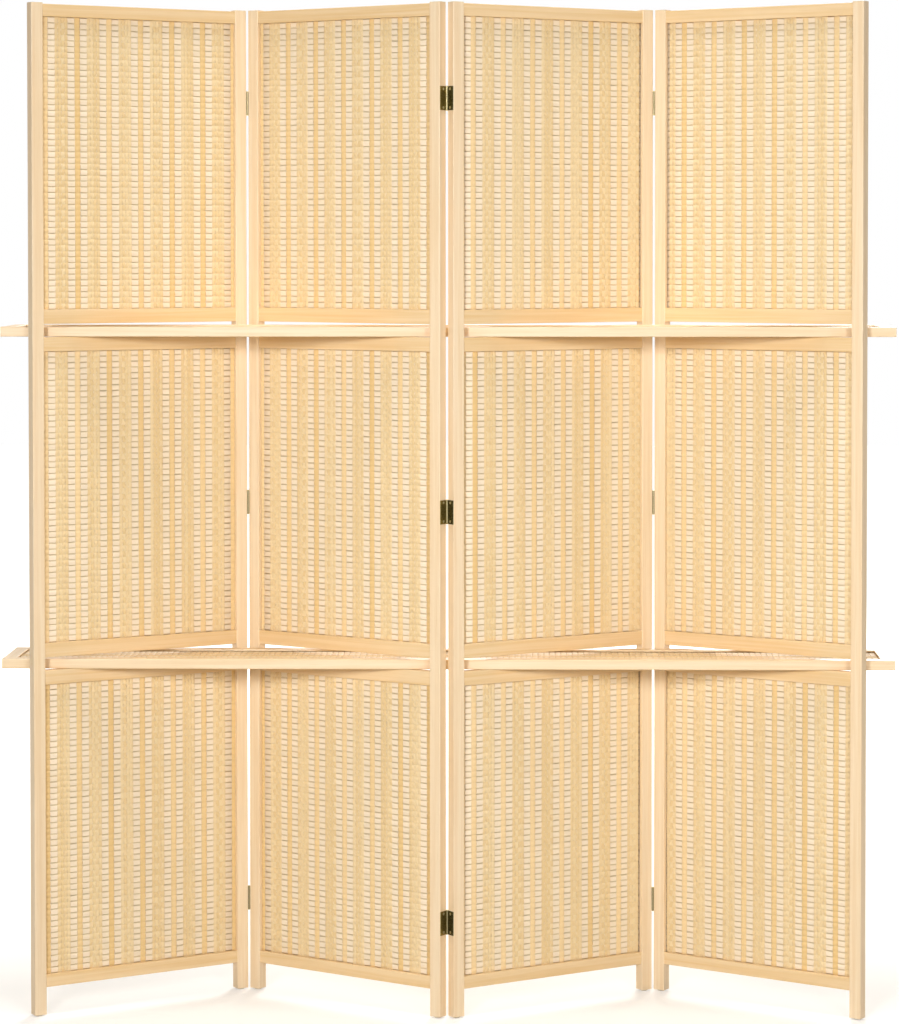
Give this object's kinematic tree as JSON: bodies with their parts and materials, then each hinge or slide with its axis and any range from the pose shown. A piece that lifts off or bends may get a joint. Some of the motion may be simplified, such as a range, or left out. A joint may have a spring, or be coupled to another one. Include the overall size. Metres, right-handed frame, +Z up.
{
  "type": "folding screen",
  "caption": "Folding zigzag screen of pale wood frames with woven slat mats on brass butt hinges, with long flat shelves that lie through slots in its panels.",
  "frame": {"origin": "on the floor, under the middle of the screen's width and depth", "axes": "+Z up, +X along the shelves to the viewer's right, the front faces -Y"},
  "size_m": [1.5022, 0.2298, 1.7],
  "materials": {
    "frame_wood": "clear satin varnish",
    "shelf_wood": "clear satin varnish",
    "panel_mat": "plant fibre strands woven over flat split slats",
    "shelf_mat": "plant fibre strands woven over flat split slats",
    "hinge_leaf": "aged, lightly polished",
    "hinge_pin": "polished",
    "hinge_screw": "polished",
    "foot_glide": "moulded"
  },
  "bodies": {
    "panel_1": {"panel_1_left_stile": "frame_wood", "panel_1_right_stile": "frame_wood", "panel_1_top_rail": "frame_wood", "panel_1_bottom_rail": "frame_wood", "panel_1_slot_rails": "frame_wood", "panel_1_upper_mat": "panel_mat", "panel_1_middle_mat": "panel_mat", "panel_1_lower_mat": "panel_mat", "panel_1_foot_glides": "foot_glide", "panel_1_hinge_screws": "hinge_screw", "hinge_1_left_leaves": "hinge_leaf"},
    "panel_2": {"panel_2_left_stile": "frame_wood", "panel_2_right_stile": "frame_wood", "panel_2_top_rail": "frame_wood", "panel_2_bottom_rail": "frame_wood", "panel_2_slot_rails": "frame_wood", "panel_2_upper_mat": "panel_mat", "panel_2_middle_mat": "panel_mat", "panel_2_lower_mat": "panel_mat", "panel_2_foot_glides": "foot_glide", "panel_2_hinge_screws": "hinge_screw", "hinge_1_right_leaves": "hinge_leaf", "hinge_1_pins": "hinge_pin", "hinge_2_left_leaves": "hinge_leaf", "hinge_2_pins": "hinge_pin"},
    "panel_3": {"panel_3_left_stile": "frame_wood", "panel_3_right_stile": "frame_wood", "panel_3_top_rail": "frame_wood", "panel_3_bottom_rail": "frame_wood", "panel_3_slot_rails": "frame_wood", "panel_3_upper_mat": "panel_mat", "panel_3_middle_mat": "panel_mat", "panel_3_lower_mat": "panel_mat", "panel_3_foot_glides": "foot_glide", "panel_3_hinge_screws": "hinge_screw", "hinge_2_right_leaves": "hinge_leaf", "hinge_3_left_leaves": "hinge_leaf", "hinge_3_pins": "hinge_pin"},
    "panel_4": {"panel_4_left_stile": "frame_wood", "panel_4_right_stile": "frame_wood", "panel_4_top_rail": "frame_wood", "panel_4_bottom_rail": "frame_wood", "panel_4_slot_rails": "frame_wood", "panel_4_upper_mat": "panel_mat", "panel_4_middle_mat": "panel_mat", "panel_4_lower_mat": "panel_mat", "panel_4_foot_glides": "foot_glide", "panel_4_hinge_screws": "hinge_screw", "hinge_3_right_leaves": "hinge_leaf"},
    "upper_shelf": {"upper_shelf_front_rail": "shelf_wood", "upper_shelf_rear_rail": "shelf_wood", "upper_shelf_end_rails": "shelf_wood", "upper_shelf_battens": "shelf_wood", "upper_shelf_mat": "shelf_mat"},
    "lower_shelf": {"lower_shelf_front_rail": "shelf_wood", "lower_shelf_rear_rail": "shelf_wood", "lower_shelf_end_rails": "shelf_wood", "lower_shelf_battens": "shelf_wood", "lower_shelf_mat": "shelf_mat"}
  },
  "joints": [
    {"name": "fold_middle", "type": "hinge", "parent": "panel_2", "child": "panel_3", "pos_m": [0, -0.09893, 0.85], "axis": [0, 0, 1], "range_deg": [-6, 114]},
    {"name": "fold_left", "type": "hinge", "parent": "panel_2", "child": "panel_1", "pos_m": [-0.35119, 0.09893, 0.85], "axis": [0, 0, 1], "range_deg": [-6, 114]},
    {"name": "fold_right", "type": "hinge", "parent": "panel_3", "child": "panel_4", "pos_m": [0.35119, 0.09893, 0.85], "axis": [0, 0, 1], "range_deg": [-114, 6]},
    {"name": "upper_shelf_turn", "type": "hinge", "parent": "panel_2", "child": "upper_shelf", "pos_m": [-0.1756, 0, 1.151], "axis": [0, 0, 1], "range_deg": [-3, 57]},
    {"name": "lower_shelf_slide", "type": "slide", "parent": "upper_shelf", "child": "lower_shelf", "axis": [1, 0, 0], "range_m": [0, 1.5]}
  ],
  "couplings": [
    {"joint": "fold_left", "follows": "fold_middle", "ratio": 1},
    {"joint": "fold_right", "follows": "fold_middle", "ratio": -1},
    {"joint": "upper_shelf_turn", "follows": "fold_middle", "ratio": 0.5}
  ]
}
